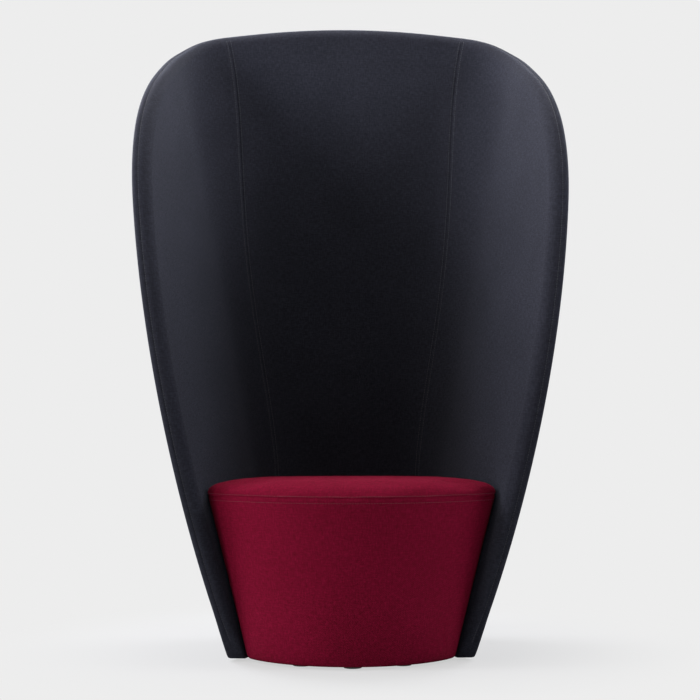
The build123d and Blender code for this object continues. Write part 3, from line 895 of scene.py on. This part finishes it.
# %% [markdown]
# ## Seat seam, grooves and skirt
# The top cover meets the front cover in a seam just below the soft edge, and a second row of stitches runs
# below it. After the swelling the seam is pulled in along the surface, and puckers are added beside it.

# %% Seat covers
first_row, second_row = 4.6, 9.5  # of stitches, above the seam and below it
normals = corner_normals(drum_points, drum_quads)
across = drum_points[:, 0]
off_seam = drum_points[:, 2] - seam_level
off = np.abs(off_seam)
groove = -1.3 * bell(off_seam, 2.2) + 0.4 * bell(off - 11, 7) - 0.5 * bell(off_seam + second_row, 2.0)
groove = groove + 0.32 * pulled(off, 13.0, 3.0) * ripple(across + 0.4 * off_seam, 18.0, 41)
is_wall = (station_of >= low_rings) & (station_of < ring_count - edge_rings)
slow = 0.5 * ripple(across, 330.0, 42) * ripple(drum_points[:, 2], 260.0, 43) * (~held)
drum_points = drum_points + normals * (np.where(is_wall, groove, 0.0) + slow)[:, None]
print("seat seam pulled in", round(float(-groove.min()), 2), "mm")

# %% The drum's UV and its two covers
cover_end, skirt_level = -90.0, 272.0  # y where the front cover ends, and level where the skirt does
edge_step = 5.3  # length of cloth between two rings of the soft edge
risen = run_along(np.array(stations))
risen = np.concatenate([risen, risen[-1] + edge_step * np.arange(1, edge_rings + 1)])
middle_ring = 20  # about halfway up the sides, and its length of cloth serves for every ring
ring_run = run_along(rings[middle_ring])
uv_drum = drum_points[:, [0, 1]] * MM
for station in range(ring_count - 1):
    run_up = np.full(around, risen[station])
    uv_drum[ring_ids[station]] = np.stack([ring_run - ring_run[front_cells // 2], run_up], axis=1) * MM
quad_middle = drum_points[drum_quads].mean(axis=1)
in_front = quad_middle[:, 1] < cover_end
is_front = (quad_station >= 0) & (quad_station < seam_station) & in_front
is_skirt = (quad_station >= 0) & ~in_front & (quad_middle[:, 2] > skirt_level)
is_top = (quad_station >= seam_station) | is_skirt
seat_covers = {"seat_front_fabric": (is_front, ["seat_front_cover", "seat_front_pad"]),
               "seat_top_fabric": (is_top, ["seat_top_cover", "seat_cushion"])}
for name, (keep, nodes) in seat_covers.items():
    points, faces, uv = kept(drum_points, drum_quads, uv_drum, keep)
    piece = make_mesh(name, points, faces, wine_wool, uv)
    smoother = piece.modifiers.new("smooth", "SUBSURF")
    smoother.levels = smoother.render_levels = 1
    smoother.boundary_smooth = "PRESERVE_CORNERS"
    lined(piece, cover_thickness)
    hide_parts(*nodes)
    print(name, len(faces), "quads")

# %% [markdown]
# ## Stitches
# Topstitching is what the eye reads as upholstery. Each stitch is a short thread that dives into the cloth
# at both ends: four sides, five rings along it, bowed outwards in the middle. A bump could fake them, but
# real threads catch the light and stay in the exported mesh. Hundreds of them share one formula, so each
# has only sixteen faces and two caps.

# %% Rows of stitches
stitch_pitch, stitch_length, thread_radius = 5.6, 4.4, 0.55
stitch_lift, stitch_dive = 0.25, 0.54  # of its middle above the cloth, and of its ends below the middle


def stitch_row(path, outwards):
    """Stitches along a path: one every pitch, each a thread bowed as a parabola and thinner at its ends."""
    run = run_along(path)
    count = int((run[-1] - stitch_length) / stitch_pitch)
    t = np.linspace(0, 1, 5)
    end = 2 * t - 1  # from one end of the stitch to the other
    spots = (np.arange(count) * stitch_pitch)[:, None] + t * stitch_length
    place, up = at_spots(spots, run, path), at_spots(spots, run, outwards)
    side = np.cross(unit(np.gradient(place, axis=1)), up)
    place = place + up * (stitch_lift - stitch_dive * end[None, :, None] ** 2)
    thick = thread_radius * (1 - 0.55 * end**4)[None, :, None, None]
    angle = (np.arange(4) * pi / 2 + pi / 4)[:, None]
    ring = (np.cos(angle) * side[:, :, None] + np.sin(angle) * up[:, :, None]) * thick
    points = (place[:, :, None] + ring).reshape(-1, 3)
    ids = np.arange(count * 20).reshape(count, 5, 4)
    nxt_id = np.roll(ids, -1, axis=2)
    sides = np.stack([ids[:, :-1], nxt_id[:, :-1], nxt_id[:, 1:], ids[:, 1:]], axis=-1).reshape(-1, 4)
    return points, np.concatenate([sides, ids[:, 0, ::-1], ids[:, -1]])


def stitching(name, rows_of, material):
    """One piece from several rows of stitches."""
    starts = np.cumsum([0] + [len(points) for points, _ in rows_of])
    faces = np.concatenate([faces + start for (_, faces), start in zip(rows_of, starts)])
    piece = make_mesh(name, np.concatenate([points for points, _ in rows_of]), faces, material)
    print(name, len(piece.data.polygons) // 18, "stitches")


def on_lining(way, level):
    """Places on the inside cloth and the direction towards the sitter."""
    depth = wall + lining_height(way, level)
    place = shell_place(way, level, depth)
    return place, unit(shell_place(way, level, depth + 1.0) - place)


row_bottom, row_top, row_aside = 372.0, 1415.0, 6.0  # levels of a row's ends, distance from the seam
levels = np.linspace(row_bottom, row_top, 400)
back_rows = [stitch_row(*on_lining(sign * (seam_way(levels) + off), levels))
             for sign in (-1, 1) for off in (-row_aside, row_aside)]
stitching("back_seam_stitching", back_rows, charcoal_thread)

# %% Rim and seat stitches
rim_path = inside_roll[9]  # the station a few millimetres inside the rim seam
open_rim = rim_path[:, 2] > 40.0  # stitched from just above the feet
order = np.roll(np.arange(len(rim_path)), -int(np.argmax(open_rim)))
order = order[open_rim[order]]
edge, edge_way_out = along(edge_loop, ring_spots[order]), along(edge_out, ring_spots[order])
middle_wall = shell_place(edge[:, 0], edge[:, 1], wall / 2)
deeper = shell_place(*(edge - 20 * edge_way_out).T, wall / 2)
rim_row = stitch_row(rim_path[order], unit(middle_wall - deeper))
stitching("rim_seam_stitching", [rim_row], charcoal_thread)

column_points = drum_points[ring_ids[low_rings : seam_station + low_rings]]
spots = np.flatnonzero(column_points[seam_station - 6, :, 1] < -150.0)  # of the ring, on the bow
spots = np.concatenate([spots[spots > around // 2], spots[spots <= around // 2]])
seat_rows = []
for wanted in (seam_level + first_row, seam_level - second_row):
    row_place = np.stack([[np.interp(wanted, line[:, 2], line[:, i]) for i in range(3)]
                          for line in column_points[:, spots].swapaxes(0, 1)])
    near = ring_ids[low_rings + int(np.argmin(np.abs(walls - wanted)))][spots]
    seat_rows.append(stitch_row(row_place, normals[near]))
stitching("seat_seam_stitching", seat_rows, wine_thread)

# %% [markdown]
# ## Webbing and dust cloth
# Elastic straps are stapled across the top frame and woven over each other, and a thin spun cloth closes
# the underside. Both are flat goods, so they are modelled directly: a strip or sheet with thickness, with
# its ends where the CAD solids have them, and a slow sag between.

# %% Straps
strap_thickness, ribs, rib_height = 1.6, 6, 0.12
rib_drop = 0.15  # from the top of the CAD strap down to the middle of the ribs


def flat_strip(low, high, lengthwise, dip):
    """A strip between two corners: ribs across its width and a slow dip along its length."""
    u, v = np.meshgrid(np.linspace(0, 1, 40), np.linspace(0, 1, 13))
    span = (high - low) / MM
    x, y = (u, v) if lengthwise == 0 else (v, u)
    top = low[2] / MM + span[2] - rib_drop + rib_height * np.cos(2 * pi * v * ribs) - dip * np.sin(pi * u)
    points = np.stack([low[0] / MM + x * span[0], (low[1] - drum_y) / MM + y * span[1], top], axis=-1)
    quads = quad_grid(np.arange(u.size).reshape(u.shape))
    return points.reshape(-1, 3), quads if lengthwise == 0 else quads[:, ::-1]


for group, lengthwise, dip in (("webbing_long", 1, 0.4), ("webbing_cross", 0, 0.1)):
    names = sorted(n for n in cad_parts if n.startswith(group))
    for name in names:
        low, high = [np.array(c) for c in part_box(name)]
        points, faces = flat_strip(low, high, lengthwise, dip)
        strap = make_mesh(name.replace("webbing", "strap"), points, faces, webbing)
        lined(strap, strap_thickness)
        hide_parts(name)
    print(len(names), group, "straps")

# %% Dust cloth
cloth_level, cloth_thickness = 6.9, 0.6  # its lower face, and its own thickness
plan_level, cloth_inset = 8.0, 18.0  # it ends this far inside the drum's plan at this level
cloth_points = filled(four_sides(plan_level, cloth_inset))
cloth_index = np.arange(cloth_points[..., 0].size).reshape(cloth_points.shape[:2])
cloth_points = np.concatenate([cloth_points, np.full(cloth_index.shape + (1,), cloth_level)], axis=-1)
cloth_points, cloth_quads = cloth_points.reshape(-1, 3), quad_grid(cloth_index)
dust = make_mesh("seat_dust_cloth", cloth_points, cloth_quads[:, ::-1], spun_cloth)
lined(dust, cloth_thickness)
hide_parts("seat_bottom_cloth")

# %% [markdown]
# ## Studio and camera
# The photograph has a pale, even background, bright upper edges on the shell and a dark hollow inside it.
# That comes from soft boxes above and behind both wings and beside them, stronger on the left, with weak
# ones over the chair and low at the left front. The floor shows as the same pale grey as the backdrop,
# except near the chair, where it keeps the soft shadow. The camera is level with the middle of the back,
# four and a half metres away with a long lens, and turned by a degree and a half.

# %% Floor and world
pale = colour("#ededed")
shadow_reach = (0.30, 0.85)  # metres from the chair's middle between which the floor's shadow fades


def shown_behind(tree, lighting, view):
    """Mixes two shaders: one that lights the chair, and one that the camera, gloss and glass see."""
    rays = node(tree, "LightPath")
    seen = node(tree, "Math", {0: rays["Is Camera Ray"], 1: rays["Is Glossy Ray"]}, operation="MAXIMUM")[0]
    seen = node(tree, "Math", {0: seen, 1: rays["Is Transmission Ray"]}, operation="MAXIMUM")[0]
    return node(tree, "MixShader", {0: seen, 1: lighting, 2: view})[0]


def floor_shader(tree):
    """Matt paint for the light that it throws back, plain pale grey to the eye, shaded near the chair."""
    place = node(tree, "TexCoord")["Object"]
    radius = node(tree, "VectorMath", {0: place}, operation="LENGTH")["Value"]
    near_chair = node(tree, "MapRange", {"Value": radius, "From Min": shadow_reach[0],
                                         "From Max": shadow_reach[1], "To Min": 0.32, "To Max": 0.0},
                      interpolation_type="SMOOTHSTEP")[0]
    lit = node(tree, "BsdfDiffuse", {"Color": colour("#bcbcbc")})[0]
    shaded = node(tree, "BsdfDiffuse", {"Color": colour("#9a9a9a")})[0]
    flat = node(tree, "Emission", {"Color": pale, "Strength": 1.0})[0]
    return shown_behind(tree, lit, node(tree, "MixShader", {0: near_chair, 1: flat, 2: shaded})[0])


half_floor = 30.0  # metres
floor_corners = [(x * half_floor, y * half_floor, 0.0) for x, y in ((-1, -1), (1, -1), (1, 1), (-1, 1))]
floor_mesh = bpy.data.meshes.new("floor")
floor_mesh.from_pydata(floor_corners, [], [(0, 1, 2, 3)])
floor_mesh.materials.append(painted("matt_studio_floor", floor_shader))
placed("floor", floor_mesh)

world = bpy.data.worlds.new("pale_studio")
bpy.context.scene.world = world
tree = emptied(world)
ambient = node(tree, "Background", {"Color": colour("#eef1f6"), "Strength": 0.06})[0]
backdrop = node(tree, "Background", {"Color": pale, "Strength": 1.0})[0]
node(tree, "OutputWorld", {"Surface": shown_behind(tree, ambient, backdrop)})
print("floor and backdrop show", [round(v, 3) for v in pale[:3]], "in linear light")

# %% Lights
chair_heart = (0.0, 0.0, 1.1)
cool, warm, neutral = "#f6f7ff", "#fff8f2", "#fbfaf6"
soft_boxes = {  # place, target, size in metres, watts, tint
    "over_left_wing": ((-1.6, 0.8, 2.0), chair_heart, 0.9, 112.0, cool),
    "over_right_wing": ((1.6, 0.8, 2.0), chair_heart, 0.9, 74.0, cool),
    "left_side": ((-2.1, -0.6, 1.85), chair_heart, 0.7, 70.0, cool),
    "right_side": ((2.1, -0.6, 1.85), chair_heart, 0.7, 46.0, cool),
    "overhead": ((0.0, -0.3, 3.0), (0.0, 0.0, 0.4), 1.4, 28.0, neutral),
    "over_the_back": ((0.0, 0.75, 2.7), (0.0, 0.2, 1.3), 1.2, 34.0, neutral),
    "low_left_front": ((-2.1, -1.6, 0.75), (-0.1, -0.3, 0.3), 0.5, 18.0, warm),
}
for name, (place, target, size, watts, tint) in soft_boxes.items():
    lamp = bpy.data.lights.new(name, "AREA")
    lamp.shape, lamp.size, lamp.energy, lamp.color = "SQUARE", size, watts, colour(tint)[:3]
    holder = placed(name, lamp)
    x, y, z = np.array(place) - np.array(target)
    holder.location = place
    holder.rotation_euler = (atan2(hypot(x, y), z), 0.0, atan2(x, -y))
print(len(soft_boxes), "soft boxes")

# %% Camera
lens, eye_height, eye_distance, eye_aside, eye_turn = 105.17, 0.665, 4.4985, -0.1178, radians(-1.5)
camera_data = bpy.data.cameras.new("photo_camera")
camera_data.sensor_width, camera_data.lens = 36.0, lens
camera = placed("photo_camera", camera_data)
camera.location = (eye_aside, -eye_distance + drum_y, eye_height)
camera.rotation_euler = (pi / 2, 0.0, eye_turn)
bpy.context.scene.camera = camera
bpy.context.scene.view_settings.view_transform = "Standard"
print("camera", eye_distance, "m away with a lens of", lens, "mm")
